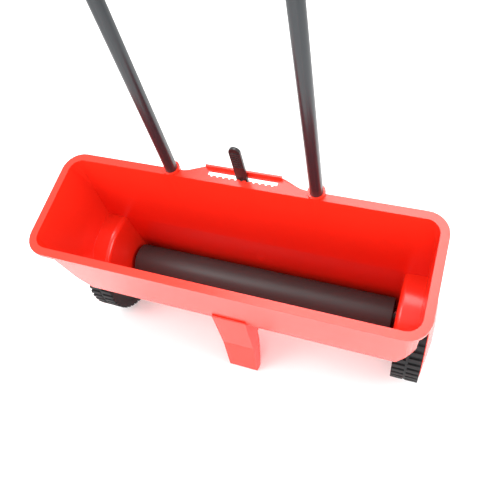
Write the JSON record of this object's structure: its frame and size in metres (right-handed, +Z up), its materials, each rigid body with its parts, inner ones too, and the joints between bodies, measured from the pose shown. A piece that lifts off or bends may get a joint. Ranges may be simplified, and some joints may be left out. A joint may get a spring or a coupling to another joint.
{
  "type": "push seeder",
  "caption": "Walk-behind drop seeder: long hopper over a ground-driven metering roller, lever-set outlet plate, front rest leg and loop handle.",
  "frame": {"origin": "centre of the bounding box on the floor, under the middle of the seeder as it stands parked", "axes": "+X along the axle to the driven wheel, +Y towards the person who pushes it, +Z up"},
  "size_m": [0.642, 0.2816, 1.1046],
  "materials": {
    "red_moulding": "satin",
    "wheel_plastic": "matte",
    "black_plastic": "satin",
    "roller_plastic": "matte",
    "tube_paint": "satin",
    "grip_rubber": "matte",
    "zinc": "satin",
    "nylon": "satin"
  },
  "bodies": {
    "frame": {"hopper": "red_moulding", "leg": "red_moulding", "leg_screws": "zinc", "tube_left": "tube_paint", "tube_right": "tube_paint", "socket_bolts": "zinc", "socket_nuts": "zinc", "knuckle_left": "black_plastic", "knuckle_right": "black_plastic", "handle": "tube_paint", "grip": "grip_rubber", "cross_brace": "tube_paint", "handle_bolts": "zinc", "wing_nuts": "black_plastic", "bush_left": "nylon", "bush_right": "nylon", "rail_lower": "zinc", "rail_upper_left": "zinc", "rail_upper_right": "zinc", "rail_screws": "zinc", "lever_bolt": "zinc", "lever_washer": "zinc"},
    "drive_axle": {"axle": "zinc", "roller": "roller_plastic", "roller_cap_left": "black_plastic", "roller_cap_right": "black_plastic", "roller_pins": "zinc", "thrust_washers": "zinc", "end_washers": "zinc", "end_pins": "zinc", "drive_pin": "zinc", "wheel_right": "wheel_plastic", "wheel_disc_right": "red_moulding"},
    "free_wheel": {"wheel_left": "wheel_plastic", "wheel_disc_left": "red_moulding"},
    "lever": {"lever": "black_plastic"},
    "metering_plate": {"metering_plate": "zinc"}
  },
  "joints": [
    {"name": "axle_spin", "type": "hinge", "parent": "frame", "child": "drive_axle", "pos_m": [0, 0.03731, 0.102], "axis": [1, 0, 0], "continuous": true},
    {"name": "free_wheel_spin", "type": "hinge", "parent": "frame", "child": "free_wheel", "pos_m": [0, 0.03731, 0.102], "axis": [1, 0, 0], "continuous": true},
    {"name": "lever_swing", "type": "hinge", "parent": "frame", "child": "lever", "pos_m": [0, 0.08013, 0.16017], "axis": [0, 0.986, 0.1667], "range_deg": [-12, 12]},
    {"name": "plate_slide", "type": "slide", "parent": "frame", "child": "metering_plate", "axis": [1, 0, 0], "range_m": [-0.0059, 0.0059]}
  ],
  "couplings": [
    {"joint": "plate_slide", "follows": "lever_swing", "m_per_rad": -0.028}
  ]
}
